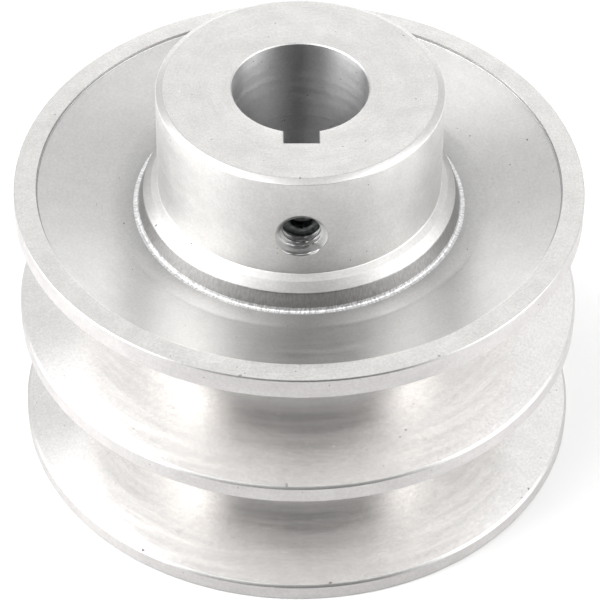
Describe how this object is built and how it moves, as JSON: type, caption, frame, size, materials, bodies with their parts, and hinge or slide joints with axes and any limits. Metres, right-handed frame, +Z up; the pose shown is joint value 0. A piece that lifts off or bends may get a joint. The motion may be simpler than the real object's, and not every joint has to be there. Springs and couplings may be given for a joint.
{
  "type": "v belt pulley",
  "caption": "Aluminium V-belt pulley with deep belt grooves, a dished web and a projecting keyed hub that a radial set screw locks to its shaft.",
  "frame": {"origin": "centre of the back face, on the bore's axis, where the pulley stands", "axes": "+Z up the bore towards the projecting hub's end; -Y out of the tapped hole, which lies over the keyway"},
  "size_m": [0.08, 0.08, 0.06],
  "materials": {
    "cast_aluminium": "fine turned faces, grooves and bore, with a smooth as-cast web",
    "black_oxide_steel": "black oxide, lightly oiled"
  },
  "bodies": {
    "pulley": {"pulley_body": "cast_aluminium"},
    "screw": {"set_screw": "black_oxide_steel"}
  },
  "joints": [
    {"name": "set_screw_travel", "type": "slide", "parent": "pulley", "child": "screw", "axis": [0, -1, 0], "range_m": [-0.001, 0.006]}
  ]
}
